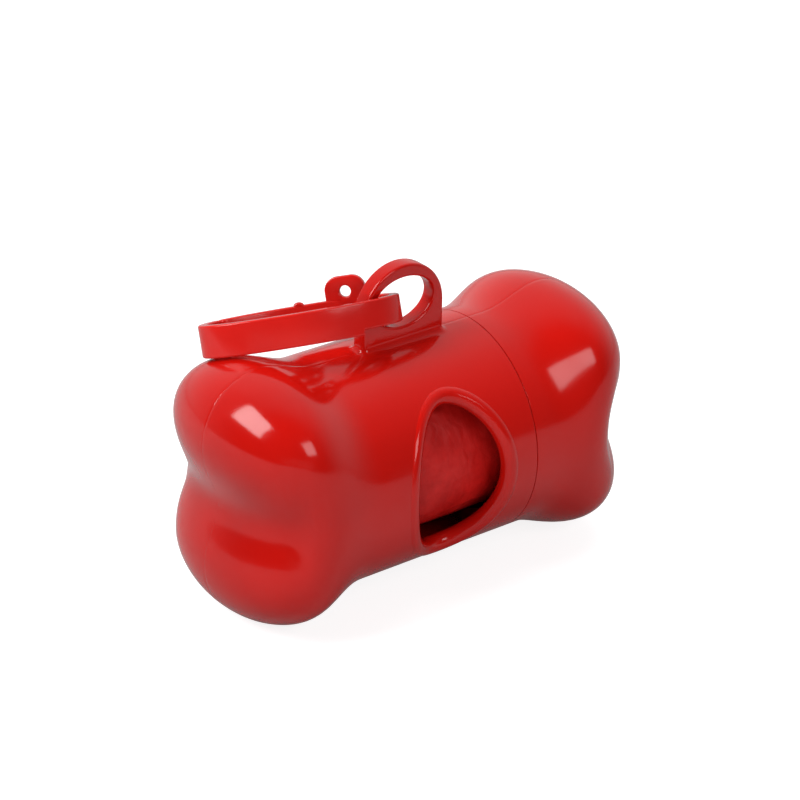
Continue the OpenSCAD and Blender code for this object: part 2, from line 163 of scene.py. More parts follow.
class ClipSizes(bpy.types.PropertyGroup):
    half_length: length("Half Length", "Half length of the ring's middle line", 16.7)
    half_width: length("Half Width", "Half width of the ring's middle line", 7.2)
    power: bpy.props.FloatProperty(
        name="Fullness",
        description="Fullness of the oval, where 2 is an ellipse",
        default=2.08,
        min=1.5,
        max=4.0,
    )
    strip: length("Strip Thickness", "Thickness of the strip", 1.8)
    height: length("Strip Height", "Height of the strip", 5.7)
    neck_height: length("Neck Height", "Height of the strip where it passes the lug", 4.8)
    neck_at: length("Neck Place", "Where the strip becomes lower, along the ring", -9.4, low=-50.0)
    edge: length("Edge", "Rounding of the strip's edges", 0.35)
    bend_at: length("Gate Bend", "Where the gate bends, along the ring", 12.8)
    tip_at: length("Gate Tip", "Where the gate ends, along the ring", -14.2, low=-50.0)
    gap: length("Gate Gap", "Gap round the gate", 0.3)
    lap: length("Gate Lap", "Overlap of the frame's lip and the gate", 1.0)
    tab_at: length("Tab Place", "Place of the tab along the ring", -9.2, low=-50.0)
    tab_width: length("Tab Width", "Width of the tab", 7.2)
    tab_height: length("Tab Height", "Height of the tab over the strip", 4.0)
    tab_corner: length("Tab Corner", "Rounding of the tab's upper corners", 2.4)
    tab_hole: length("Tab Hole", "Radius of the tab's hole", 1.0)
    tab_hole_z: length("Tab Hole Height", "Height of the hole over the strip", 1.3)
    pip_at: length("Pip Place", "Place of the small pip along the gate", -0.8, low=-50.0)
    tongue_root: length("Tongue Root", "Where the spring tongue leaves the strip", 0.2, low=-50.0)
    tongue_length: length("Tongue Length", "Free length of the spring tongue", 6.0)
    tongue_thick: length("Tongue Thickness", "Thickness of the spring tongue", 0.9)
    tongue_gap: length("Tongue Gap", "Gap behind the spring tongue", 0.5)
    lip: length("Outer Lip", "Strip left outside the spring tongue", 1.0)


class RollSizes(bpy.types.PropertyGroup):
    radius: length("Radius", "Outer radius of the wound bags", 14.8)
    half: length("Half Length", "Half length of the roll", 29.0)
    bore: length("Bore", "Radius of the roll's bore", 6.5)
    axis_drop: length("Axis Drop", "How far the roll lies under the bone's axis", 0.7)
    wrinkle: length("Wrinkles", "Depth of the wrinkles in the film", 0.22)


class Finishes(bpy.types.PropertyGroup):
    shell: colour("Shell", "Colour of the glossy moulded shells", (0.54, 0.0056, 0.0028))
    shell_deep: colour("Shell Shade", "Deeper red of the plastic's flow marks", (0.43, 0.0038, 0.002))
    clip: colour("Clip", "Colour of the clip", (0.68, 0.014, 0.01))
    clip_deep: colour("Clip Shade", "Deeper red of the clip's flow marks", (0.4, 0.006, 0.0045))
    inner: colour("Inner Parts", "Colour of the neck and the collar", (0.42, 0.006, 0.0035))
    film: colour("Film", "Colour of the bags' film", (0.62, 0.014, 0.012))
    # Deeper red painted as shade in the folds of the film
    film_fold_shade: colour("Film Folds", "Colour in the folds of the film", (0.42, 0.004, 0.003))
    core: colour("Core", "Colour of the core's grey board", (0.5, 0.44, 0.36))
    roughness: bpy.props.FloatProperty(
        name="Shell Roughness",
        description="Roughness of the moulded surface",
        default=0.13,
        min=0.0,
        max=1.0,
        subtype="FACTOR",
    )


class StageLook(bpy.types.PropertyGroup):
    azimuth: bearing("Camera Azimuth", "Angle of the camera round the object", -38.19)
    elevation: bearing("Camera Elevation", "Angle of the camera over the horizon", 26.72)
    roll: bearing("Camera Roll", "Turn of the camera about its view", 1.05)
    distance: length("Camera Distance", "Distance of the camera from its target", 501.5, high=5000.0)
    aim_right: length("Aim Right", "How far right of the bone's middle the camera aims", -0.036, low=-50.0)
    aim_up: length("Aim Up", "How far above the bone's middle the camera aims", 7.34, low=-50.0)
    lens: bpy.props.FloatProperty(
        name="Lens", description="Focal length", default=126.7, min=10.0, unit="CAMERA"
    )
    floor: colour("Floor", "Colour of the pale floor", (0.38, 0.38, 0.385))
    floor_glow: bpy.props.FloatProperty(
        name="Floor Glow",
        description="How much brighter the floor looks to the camera",
        default=0.85,
        min=0.0,
    )
    floor_size: length("Floor Size", "Side of the floor", 6000.0, high=20000.0)


# ---- plain helpers ----


def deselect():
    if bpy.context.mode != "OBJECT":
        bpy.ops.object.mode_set(mode="OBJECT")
    bpy.ops.object.select_all(action="DESELECT")


def make_active(obj):
    deselect()
    obj.select_set(True)
    bpy.context.view_layer.objects.active = obj


def named(obj, name):
    obj.name = name
    obj.data.name = name
    return obj


def bake_place(obj):
    """Puts the object's place, turn and scale into its mesh."""
    make_active(obj)
    bpy.ops.object.transform_apply(location=True, rotation=True, scale=True)


def apply_modifiers(obj):
    make_active(obj)
    for m in list(obj.modifiers):
        bpy.ops.object.modifier_apply(modifier=m.name)


def vertices_of(mesh):
    co = np.empty(len(mesh.vertices) * 3)
    mesh.vertices.foreach_get("co", co)
    return co.reshape(-1, 3)


def set_vertices(mesh, co):
    mesh.vertices.foreach_set("co", np.ascontiguousarray(co, float).ravel())
    mesh.update()


def outward(obj, merge=1e-7):
    """Merges doubles and turns every face outwards."""
    make_active(obj)
    bpy.ops.object.mode_set(mode="EDIT")
    bpy.ops.mesh.select_all(action="SELECT")
    bpy.ops.mesh.remove_doubles(threshold=merge)
    bpy.ops.mesh.normals_make_consistent(inside=False)
    bpy.ops.object.mode_set(mode="OBJECT")


def cut(obj, point, normal, fill=False):
    """Bisects the mesh and keeps what lies against the normal."""
    make_active(obj)
    bpy.ops.object.mode_set(mode="EDIT")
    bpy.ops.mesh.select_all(action="SELECT")
    bpy.ops.mesh.bisect(
        plane_co=point, plane_no=normal, use_fill=fill, clear_inner=False, clear_outer=True, threshold=1e-6
    )
    bpy.ops.object.mode_set(mode="OBJECT")


def join(pieces, name):
    deselect()
    for p in pieces:
        p.select_set(True)
    bpy.context.view_layer.objects.active = pieces[0]
    bpy.ops.object.join()
    return named(bpy.context.view_layer.objects.active, name)


def smooth(obj, angle=32):
    make_active(obj)
    bpy.ops.object.shade_smooth_by_angle(angle=radians(angle), keep_sharp_edges=True)


def soften(obj, width, segments=2, angle=50):
    m = obj.modifiers.new("Soft edges", "BEVEL")
    m.width = width
    m.segments = segments
    m.limit_method = "ANGLE"
    m.angle_limit = radians(angle)
    m.use_clamp_overlap = True
    apply_modifiers(obj)


def take_away(obj, cutter):
    """Cuts the cutter's shape out of the object and deletes the cutter."""
    hole = obj.modifiers.new("Hole", "BOOLEAN")
    hole.operation = "DIFFERENCE"
    hole.solver = "EXACT"
    hole.object = cutter
    apply_modifiers(obj)
    bpy.data.objects.remove(cutter)


def copy_of(obj, name):
    twin = obj.copy()
    twin.data = obj.data.copy()
    bpy.context.scene.collection.objects.link(twin)
    return named(twin, name)


def ring_of(points, name):
    """A circle primitive whose points are moved to the given ones."""
    deselect()
    bpy.ops.mesh.primitive_circle_add(vertices=len(points), radius=1, fill_type="NOTHING")
    obj = named(bpy.context.view_layer.objects.active, name)
    set_vertices(obj.data, np.asarray(points))
    return obj


def draw_along(rows, name):
    """Draws a closed section along rows of points by extruding its ring from row to row."""
    rows = [np.asarray(r, float) for r in rows]
    obj = ring_of(rows[0], name)
    make_active(obj)
    bpy.ops.object.mode_set(mode="EDIT")
    bpy.ops.mesh.select_all(action="SELECT")
    bpy.ops.mesh.edge_face_add()
    for before, after in zip(rows, rows[1:]):
        tree = KDTree(len(before))
        for i, p in enumerate(before):
            tree.insert(p, i)
        tree.balance()
        bpy.ops.mesh.extrude_edges_move()
        mesh = bmesh.from_edit_mesh(obj.data)
        for v in mesh.verts:
            if v.select:
                v.co = after[tree.find(v.co)[1]]
        bmesh.update_edit_mesh(obj.data)
    bpy.ops.mesh.edge_face_add()
    bpy.ops.object.mode_set(mode="OBJECT")
    return obj


def pierced_plate(outline, hole, thick, edge, segments, sharp, name):
    """Plate with a hole: two upright rings bridged, drawn out backwards and rounded."""
    plate = join([ring_of(outline, "outline"), ring_of(hole, "hole")], name)
    make_active(plate)
    bpy.ops.object.mode_set(mode="EDIT")
    bpy.ops.mesh.select_all(action="SELECT")
    bpy.ops.mesh.bridge_edge_loops()
    bpy.ops.mesh.select_all(action="SELECT")
    bpy.ops.mesh.extrude_region_move(TRANSFORM_OT_translate={"value": (0, thick, 0)})
    bpy.ops.object.mode_set(mode="OBJECT")
    outward(plate)
    soften(plate, edge, segments=segments, angle=sharp)
    return plate


# ---- shape of the bone ----


def soft_min(a, b, k):
    """The smaller of two distances, rounded off where they differ by less than k."""
    h = np.clip(0.5 + 0.5 * (b - a) / k, 0.0, 1.0)
    return b * (1 - h) + a * h - k * h * (1 - h)


def bone_field(p, s):
    """Below zero inside the bone, for points measured from its middle."""
    x, y, z = np.abs(p[:, 0]), p[:, 1], p[:, 2]
    barrel = -soft_min(s.barrel_radius - np.hypot(y, z), s.barrel_half - x, s.barrel_edge)
    flat = ((x - s.lobe_x) / s.lobe_rx) ** 2 + (y / s.lobe_ry) ** 2
    upper, lower = (
        (np.sqrt(flat + ((z - side * s.lobe_z) / s.lobe_rz) ** 2) - 1) * s.lobe_rx for side in (1, -1)
    )
    valley = s.lobe_blend + s.valley_fill * np.minimum(1, np.abs(y) / s.lobe_ry) ** 2
    return soft_min(barrel, soft_min(upper, lower, valley), s.barrel_blend)


def axis_height(s):
    """Height of the bone's axis over the floor that it stands on."""
    return s.lobe_z + s.lobe_rz - s.foot_flat


def bone_skin(s):
    """Outer skin of the whole bone: a sphere whose points are pushed out to the bone's surface."""
    deselect()
    bpy.ops.mesh.primitive_uv_sphere_add(
        segments=SKIN_SEGMENTS, ring_count=SKIN_RINGS, radius=1, rotation=(0, pi / 2, 0)
    )
    skin = named(bpy.context.view_layer.objects.active, "bone_skin")
    bake_place(skin)
    way = vertices_of(skin.data)
    way /= np.linalg.norm(way, axis=1)[:, None]
    near = np.zeros(len(way))
    far = np.full(len(way), s.lobe_x + s.lobe_rx + s.lobe_z + s.lobe_rz)
    for _ in range(SKIN_HALVINGS):
        middle = (near + far) / 2
        inside = bone_field(way * middle[:, None], s) < 0
        near = np.where(inside, middle, near)
        far = np.where(inside, far, middle)
    points = way * near[:, None]
    points[:, 2] = np.maximum(points[:, 2] + axis_height(s), 0)
    set_vertices(skin.data, points)
    return skin


def half_shell(skin, s, name, keep_below, limit, side):
    """One moulded half of the housing or the cap, with its wall and softened parting edges."""
    shell = copy_of(skin, name)
    cut(shell, (limit, 0, 0), (1, 0, 0) if keep_below else (-1, 0, 0))
    cut(shell, (0, 0, 0), (0, -side, 0))
    wall = shell.modifiers.new("Wall", "SOLIDIFY")
    wall.thickness = s.wall
    wall.offset = -1
    wall.use_even_offset = True
    wall.use_rim = True
    apply_modifiers(shell)
    soften(shell, s.parting, segments=2, angle=55)
    return shell


def rim_place(turn, s):
    """Centre of the rolled rim at a turn round the opening, and the way out of the body there."""
    x = s.open_x + (s.open_w / 2 + s.rim_r) * cos(turn)
    z = (s.open_h / 2 + s.rim_r) * sin(turn)
    y = -sqrt(s.barrel_radius**2 - z * z)
    out = Vector((0, y, z)).normalized()
    at = Vector((x, y, z)) - out * (s.rim_r - s.rim_proud)
    return at + Vector((0, 0, axis_height(s))), out


def rolled_rim(s):
    """Round bead that runs round the opening on the curved front: a torus moved on to its path."""
    little = 0.01
    deselect()
    bpy.ops.mesh.primitive_torus_add(
        major_segments=RIM_STEPS, minor_segments=RIM_SIDES, major_radius=1, minor_radius=0.25
    )
    rim = named(bpy.context.view_layer.objects.active, "rolled_rim")
    points = vertices_of(rim.data)
    for i, (x, y, z) in enumerate(points):
        turn, ring = atan2(y, x), atan2(z, sqrt(x * x + y * y) - 1)
        at, out = rim_place(turn, s)
        ahead, _ = rim_place(turn + little, s)
        behind, _ = rim_place(turn - little, s)
        along = (ahead - behind).normalized()
        across = along.cross(out).normalized()
        rise = across.cross(along).normalized()
        points[i] = at + s.rim_r * (cos(ring) * across + sin(ring) * rise)
    set_vertices(rim.data, points)
    outward(rim)
    return rim


def cut_opening(shell, s):
    """Cuts the oval opening, whose edge lies in the middle of the rim."""
    deselect()
    bpy.ops.mesh.primitive_cylinder_add(
        vertices=128,
        radius=1,
        depth=1,
        location=(s.open_x, -s.barrel_radius, axis_height(s)),
        rotation=(pi / 2, 0, 0),
    )
    cutter = bpy.context.view_layer.objects.active
    cutter.scale = (s.open_w / 2 + s.rim_r, s.open_h / 2 + s.rim_r, s.barrel_radius * 1.9)
    bake_place(cutter)
    take_away(shell, cutter)


# ---- lug ----


def arch_point(turn, lug, foot):
    """Point of the arch's outline seen from the hole's centre at a turn."""
    dx, dz = cos(turn), sin(turn)
    centre_z = lug.top - lug.radius
    b = (lug.hole_z - centre_z) * dz
    reach = -b + sqrt(b * b - (lug.hole_z - centre_z) ** 2 + lug.radius**2)
    if lug.hole_z + reach * dz < centre_z:
        reach = lug.radius / max(abs(dx), 1e-9)
        reach = min(reach, (lug.hole_z - foot) / max(-dz, 1e-9))
    return dx * reach, lug.hole_z + dz * reach


def arched_lug(lug, bone):
    """Arch with its oval hole."""
    n = 160
    lift = axis_height(bone)
    foot = bone.barrel_radius - bone.wall / 2
    y = -lug.thick / 2
    turns = [2 * pi * i / n for i in range(n)]
    outline = [(lug.place + x, y, lift + z) for x, z in (arch_point(t, lug, foot) for t in turns)]
    hole = [
        (lug.place + lug.hole_rx * cos(t), y, lift + lug.hole_z + lug.hole_rz * sin(t)) for t in turns
    ]
    return pierced_plate(outline, hole, lug.thick, lug.edge, segments=6, sharp=60, name="lug")


def lug_fillet(lug, bone):
    """Cove between the lug and the round body, drawn down ring by ring, with both ends buried."""
    rows = []
    corner = 12
    steps = 9
    into_lug, over_cove, out_of_cove, into_body = 0.2 * MM, 0.3 * MM, 0.3 * MM, 0.4 * MM
    for step in range(-1, steps + 2):
        turn = radians(90 * max(0, min(step, steps)) / steps)
        grow, up = lug.root * (1 - cos(turn)), lug.root * (1 - sin(turn))
        if step < 0:
            grow, up = grow - into_lug, up + over_cove
        elif step > steps:
            grow, up = grow + out_of_cove, up - into_body
        row = []
        for k, (sx, sy) in enumerate(((1, 1), (-1, 1), (-1, -1), (1, -1))):
            for j in range(corner + 1):
                a = radians(90 * (k + j / corner))
                x = sx * (lug.radius - lug.edge) + (lug.edge + grow) * cos(a)
                y = sy * (lug.thick / 2 - lug.edge) + (lug.edge + grow) * sin(a)
                z = sqrt(bone.barrel_radius**2 - y * y) + up
                row.append((lug.place + x, y, axis_height(bone) + z))
        rows.append(row)
    cove = draw_along(rows, "lug_fillet")
    outward(cove, merge=0.0)
    return cove


def half_of(obj, side, name, hole=False):
    """The front (side -1) or rear (side 1) half of a piece, closed at the parting plane round its hole."""
    half = copy_of(obj, name)
    cut(half, (0, 0, 0), (0, -side, 0), fill=not hole)
    if hole:
        make_active(half)
        bpy.ops.object.mode_set(mode="EDIT")
        bpy.ops.mesh.select_all(action="DESELECT")
        bpy.ops.mesh.select_mode(type="EDGE")
        bpy.ops.mesh.select_non_manifold()
        bpy.ops.mesh.bridge_edge_loops()
        bpy.ops.mesh.select_mode(type="VERT")
        bpy.ops.object.mode_set(mode="OBJECT")
        outward(half)
    return half


# ---- clip ----

# Place of the clip at rest: the corner of its ring in the lug, and its long, short and upright directions
CLIP_SEAT = Vector((-2.7, -1.6, 27.172)) * MM
CLIP_LONG = Vector((-0.88558, 0.45122, -0.11017))
CLIP_SHORT = Vector((-0.45914, -0.81465, 0.35441))
CLIP_UP = Vector((0.07017, 0.36443, 0.92858))


def clip_matrix(c, bone):
    """Place of the clip through the lug, for pieces that are built round the middle of its ring."""
    turn = Matrix((CLIP_LONG, CLIP_SHORT, CLIP_UP)).transposed().to_4x4()
    seat = CLIP_SEAT + Vector((0, 0, axis_height(bone)))
    return Matrix.Translation(seat) @ turn @ Matrix.Translation((c.half_length, 0, -c.height / 2))


def oval_point(turn, out, c):
    """Point of the ring's oval at a turn, moved outwards from its middle line."""
    u, v = cos(turn), sin(turn)
    return (
        (c.half_length + out) * copysign(abs(u) ** (2 / c.power), u),
        (c.half_width + out) * copysign(abs(v) ** (2 / c.power), v),
    )


def turn_at(x, c):
    """Turn at which the oval's middle line passes a place along the ring."""
    return acos(copysign((abs(x) / c.half_length) ** (c.power / 2), x))


def strip_section(turn, sides, heights, edge, c):
    """Section of the strip across its length, with rounded corners."""
    inner, outer = sides
    low, high = heights
    edge = max(min(edge, (outer - inner) / 2.05, (high - low) / 2.05), 1e-6)
    row = []
    for k, (u, v) in enumerate(((outer, high), (inner, high), (inner, low), (outer, low))):
        su, sv = (-1, 1)[u == inner], (1, -1)[v == high]
        for j in range(CORNER_STEPS + 1):
            a = radians(90 * (k + j / CORNER_STEPS))
            out = u + su * edge + edge * cos(a)
            row.append((*oval_point(turn, out, c), v + sv * edge + edge * sin(a)))
    return row


def ramp(x, points):
    """Value at x on the line that joins the points."""
    return float(np.interp(x, [p[0] for p in points], [p[1] for p in points]))


def strip(turns, inner, outer, low, c, name, round_start, round_end):
    """Strip along the ring's oval. inner, outer and low list its sides and its lower edge over the turns."""
    thinnest, rise_share = 0.02 * MM, 0.6
    reach = [0.0]
    for a, b in zip(turns, turns[1:]):
        p, q = oval_point(a, 0, c), oval_point(b, 0, c)
        reach.append(reach[-1] + sqrt((p[0] - q[0]) ** 2 + (p[1] - q[1]) ** 2))
    rows = []
    for turn, at in zip(turns, reach):
        i, o, lo = ramp(turn, inner), ramp(turn, outer), ramp(turn, low)
        shrink = 0.0
        for depth, ball in ((at, round_start), (reach[-1] - at, round_end)):
            if ball and depth < ball:
                shrink = max(shrink, ball - sqrt(max(ball**2 - (ball - depth) ** 2, 0)))
        flat = min(shrink, (o - i) / 2 - thinnest)
        rise = min(shrink, c.edge) * rise_share
        rows.append(strip_section(turn, (i + flat, o - flat), (lo + rise, c.height - rise), c.edge, c))
    piece = draw_along(rows, name)
    outward(piece, merge=0.0)
    return piece


def spread(start, end, marks):
    """Turns from start to end, closer together at the ends and at each mark's turn."""
    found = list(np.arange(start, end, ROW_TURN)) + [end]
    near = [d * 0.004 for d in range(9)]
    found += [start + d for d in near] + [end - d for d in near] + [turn for turn, _ in marks]
    return sorted({round(float(t), 5) for t in found if start <= t <= end})


def clip_ring(c):
    """The ring without its gate: from the gate's bend, round the far end and the front, to the lug."""
    half = c.strip / 2
    start = -turn_at(c.bend_at + half / 4, c)
    end = 2 * pi - turn_at(c.tip_at + c.lap, c)
    # Sides and lower edge of the strip, each as turns and values between which they run straight
    room_start = turn_at(c.tongue_root, c)
    room_end = turn_at(c.tongue_root - c.tongue_length - 2 * c.tongue_gap, c)
    neck_front, neck_back = turn_at(c.neck_at, c), 2 * pi - turn_at(c.neck_at, c)
    lip_turn = 2 * pi - turn_at(c.tip_at - c.gap / 2, c)
    inner = [
        (room_start, -half),
        (room_start + STEP_TURN, half - c.lip),
        (room_end - STEP_TURN, half - c.lip),
        (room_end, -half),
    ]
    outer = [(lip_turn - STEP_TURN, half), (lip_turn, -c.gap / 2)]
    neck_low = c.height - c.neck_height
    low = [
        (neck_front - STEP_TURN, 0),
        (neck_front + STEP_TURN, neck_low),
        (neck_back - STEP_TURN, neck_low),
        (neck_back + STEP_TURN, 0),
    ]
    ring = strip(spread(start, end, inner + outer + low), inner, outer, low, c, "clip_ring", 0, c.edge)
    # Hollow round the gate's knuckle
    x, y = oval_point(-turn_at(c.bend_at, c), 0, c)
    deselect()
    bpy.ops.mesh.primitive_cylinder_add(
        vertices=96, radius=half + c.gap, depth=2 * c.height, location=(x, y, c.height / 2)
    )
    take_away(ring, bpy.context.view_layer.objects.active)
    return ring


def spring_tongue(c):
    """Spring tongue that leaves the front strip and runs behind its thin outer lip."""
    half, thin = c.strip / 2, c.tongue_thick / 2
    lead, sunk, below = 2 * MM, 0.15 * MM, 0.06 * MM
    lower, upper = below, c.height - below
    edge = 0.2 * MM
    steps = 26
    free = half - c.lip - c.tongue_gap - thin
    buried = thin - half + sunk
    rows = []
    for i in range(steps + 1):
        x = c.tongue_root + lead - (c.tongue_length + lead) * i / steps
        share = max(0.0, min(1.0, (c.tongue_root + lead - x) / lead))
        middle = buried + (free - buried) * share * share * (3 - 2 * share)
        reach = thin if i < steps else thin * 0.6
        rows.append(strip_section(turn_at(x, c), (middle - reach, middle + reach), (lower, upper), edge, c))
    tongue = draw_along(rows, "spring_tongue")
    outward(tongue, merge=0.0)
    return tongue


def gate_strip(c):
    """The gate's strip from its tip in the lug to its round knuckle."""
    half = c.strip / 2
    start = -turn_at(c.tip_at + c.gap / 2, c)
    end = -turn_at(c.bend_at + half * 0.75, c)
    room = -turn_at(c.tip_at + c.lap + c.gap, c)
    neck = -turn_at(c.neck_at, c)
    inner = [(room - STEP_TURN, c.gap / 2), (room, -half)]
    outer = [(start, half)]
    low = [(neck - STEP_TURN, c.height - c.neck_height), (neck + STEP_TURN, 0)]
    return strip(spread(start, end, inner + low), inner, outer, low, c, "gate_strip", c.edge, half)


def on_gate(x, c):
    """Place on the gate's upper edge, turned along the strip."""
    near, far = oval_point(-turn_at(x - 0.5 * MM, c), 0, c), oval_point(-turn_at(x + 0.5 * MM, c), 0, c)
    at = oval_point(-turn_at(x, c), 0, c)
    return Matrix.Translation((at[0], at[1], c.height)) @ Matrix.Rotation(
        atan2(far[1] - near[1], far[0] - near[0]), 4, "Z"
    )


def tab_point(turn, c):
    """Point of the tab's outline seen from its hole at a turn."""
    dx, dz = cos(turn), sin(turn)
    half, foot = c.tab_width / 2, -1 * MM
    reach = min(
        half / max(abs(dx), 1e-9),
        (c.tab_height - c.tab_hole_z) / max(dz, 1e-9),
        (c.tab_hole_z - foot) / max(-dz, 1e-9),
    )
    x, z = dx * reach, c.tab_hole_z + dz * reach
    cx, cz = half - c.tab_corner, c.tab_height - c.tab_corner
    if abs(x) > cx and z > cz:
        ox, oz = -copysign(cx, x), c.tab_hole_z - cz
        b = ox * dx + oz * dz
        reach = -b + sqrt(b * b - ox * ox - oz * oz + c.tab_corner**2)
        x, z = dx * reach, c.tab_hole_z + dz * reach
    return x, z


def gate_tab(c):
    """Perforated tab on the gate, as thick as the strip."""
    n = 96
    y = -c.strip / 2
    turns = [2 * pi * i / n for i in range(n)]
    outline = [(x, y, z) for x, z in (tab_point(t, c) for t in turns)]
    hole = [(c.tab_hole * cos(t), y, c.tab_hole_z + c.tab_hole * sin(t)) for t in turns]
    tab = pierced_plate(outline, hole, c.strip, c.edge, segments=4, sharp=50, name="gate_tab")
    tab.matrix_world = on_gate(c.tab_at, c)
    bake_place(tab)
    return tab


def gate_pip(c):
    """Small round pip on the gate's upper edge."""
    radius, rise, edge = 0.9 * MM, 0.62, 0.3 * MM
    deselect()
    bpy.ops.mesh.primitive_cylinder_add(vertices=48, radius=radius, depth=c.strip, rotation=(pi / 2, 0, 0))
    pip = named(bpy.context.view_layer.objects.active, "gate_pip")
    bake_place(pip)
    make_active(pip)
    bpy.ops.object.mode_set(mode="EDIT")
    bpy.ops.mesh.select_all(action="SELECT")
    bpy.ops.transform.resize(value=(1, 1, rise))
    bpy.ops.object.mode_set(mode="OBJECT")
    soften(pip, edge, segments=4, angle=50)
    pip.matrix_world = on_gate(c.pip_at, c)
    bake_place(pip)
    return pip


# ---- roll ----


def roll_section(r):
    """Half section of the roll: its bore, its rounded ends and its outside."""
    edge = 0.5 * MM
    points = [(x, r.radius) for x in np.linspace(-r.half + edge, r.half - edge, 150)]
    points += [(r.half - edge + edge * sin(a), r.radius - edge + edge * cos(a)) for a in (0.5, 1.0, pi / 2)]
    points += [(r.half, q) for q in np.linspace(r.radius - edge, r.bore, 18)[1:-1]]
    points += [(x, r.bore) for x in np.linspace(r.half, -r.half, 8)]
    points += [(-r.half, q) for q in np.linspace(r.bore, r.radius - edge, 18)[1:]]
    points += [(-r.half + edge - edge * sin(a), r.radius - edge + edge * cos(a)) for a in (1.0, 0.5)]
    return points


def wrinkles(x, turn, pattern, lift=0.0):
    """Noise that closes round the roll, in a pattern given along and round it."""
    along, round_about = pattern
    return noise.noise(Vector((x * along, cos(turn) * round_about, sin(turn) * round_about + lift)))


def film_depth(x, turn, r):
    """How deep the film lies under the roll's outside: folds, creases, crinkles and the loose end's step."""
    folds = wrinkles(x, turn, FOLDS, 3.1)
    creases = 1 - abs(wrinkles(x, turn, CREASES) * 2)
    crinkles = wrinkles(x, turn, CRINKLES)
    wave = 0.06 * sin(x * 260) + 0.05 * noise.noise(Vector((x * 150, 0, 7)))
    step = (turn - (LOOSE_END_TURN + wave)) % (2 * pi) / (2 * pi)
    return r.wrinkle * (0.55 + 0.5 * folds - 0.42 * creases**3 + 0.12 * crinkles) + LOOSE_END_STEP * step


def layer_depth(x, y, up, radius, turn):
    """How deep a wound layer lies under the roll's end."""
    uneven = noise.noise(Vector((y * 500, up * 500, x * 100)))
    return (0.18 + 0.06 * sin(radius * 9000 + turn) + 0.12 * uneven) * MM


def film_roll(r, bone):
    """Roll of bags, spun from its half section and then wrinkled, but for its smooth bore."""
    bore_share, end_band = 0.02, 0.1 * MM
    z = axis_height(bone) - r.axis_drop
    ring = ring_of([(x, 0, z + q) for x, q in roll_section(r)], "bag_film")
    make_active(ring)
    bpy.ops.object.mode_set(mode="EDIT")
    bpy.ops.mesh.select_all(action="SELECT")
    bpy.ops.mesh.spin(steps=ROLL_STEPS, angle=2 * pi, center=(0, 0, z), axis=(1, 0, 0), use_auto_merge=False)
    bpy.ops.object.mode_set(mode="OBJECT")
    outward(ring, merge=2e-6)
    points = vertices_of(ring.data)
    for i, (x, y, up) in enumerate(points):
        radius = sqrt(y * y + (up - z) ** 2)
        share = (radius - r.bore) / (r.radius - r.bore)
        if share <= bore_share:
            continue
        turn = atan2(y, up - z)
        shrink = 1 - film_depth(x, turn, r) * min(1.0, share * 1.2) / radius
        points[i, 1] = y * shrink
        points[i, 2] = z + (up - z) * shrink
        if abs(x) > r.half - end_band:
            points[i, 0] = x - copysign(layer_depth(x, y, up, radius, turn), x)
    set_vertices(ring.data, points)
    return ring


# ---- finishes ----


class Nodes:
    """A material's node tree, written from left to right."""

    def __init__(self, name):
        self.material = bpy.data.materials.new(name)
        self.material.use_nodes = True
        self.tree = self.material.node_tree
        self.shader = self.tree.nodes["Principled BSDF"]
        self.place = self.add("ShaderNodeTexCoord").outputs["Object"]

    def add(self, kind, links=None, **settings):
        node = self.tree.nodes.new(kind)
        for key, value in settings.items():
            setattr(node, key, value)
        for key, value in (links or {}).items():
            if isinstance(value, bpy.types.NodeSocket):
                self.tree.links.new(value, node.inputs[key])
            else:
                node.inputs[key].default_value = value
        return node

    def noise(self, scale, detail=2.0, stretch=(1, 1, 1), rough=0.5):
        placed = self.add("ShaderNodeMapping", {"Vector": self.place, "Scale": stretch})
        links = {"Vector": placed.outputs[0], "Scale": scale, "Detail": detail, "Roughness": rough}
        return self.add("ShaderNodeTexNoise", links).outputs["Fac"]

    def cracks(self, scale):
        links = {"Vector": self.place, "Scale": scale, "Randomness": 1.0}
        return self.add("ShaderNodeTexVoronoi", links, feature="DISTANCE_TO_EDGE").outputs["Distance"]

    def between(self, value, low, high, new_low, new_high):
        links = {"Value": value, "From Min": low, "From Max": high, "To Min": new_low, "To Max": new_high}
        return self.add("ShaderNodeMapRange", links).outputs["Result"]

    def math(self, operation, a, b):
        return self.add("ShaderNodeMath", {0: a, 1: b}, operation=operation).outputs[0]

    def blend(self, share, a, b):
        mix = self.add("ShaderNodeMix", data_type="RGBA")
        self.tree.links.new(share, mix.inputs[0])
        for socket, value in ((mix.inputs[6], a), (mix.inputs[7], b)):
            if isinstance(value, bpy.types.NodeSocket):
                self.tree.links.new(value, socket)
            else:
                socket.default_value = (*value, 1)
        return mix.outputs[2]

    def bump(self, height, depth, strength=1.0, after=None):
        links = {"Height": height, "Distance": depth, "Strength": strength}
        if after is not None:
            links["Normal"] = after
        return self.add("ShaderNodeBump", links).outputs["Normal"]

    def set(self, **values):
        for key, value in values.items():
            socket = self.shader.inputs[key.replace("_", " ")]
            if isinstance(value, bpy.types.NodeSocket):
                self.tree.links.new(value, socket)
            else:
                socket.default_value = value


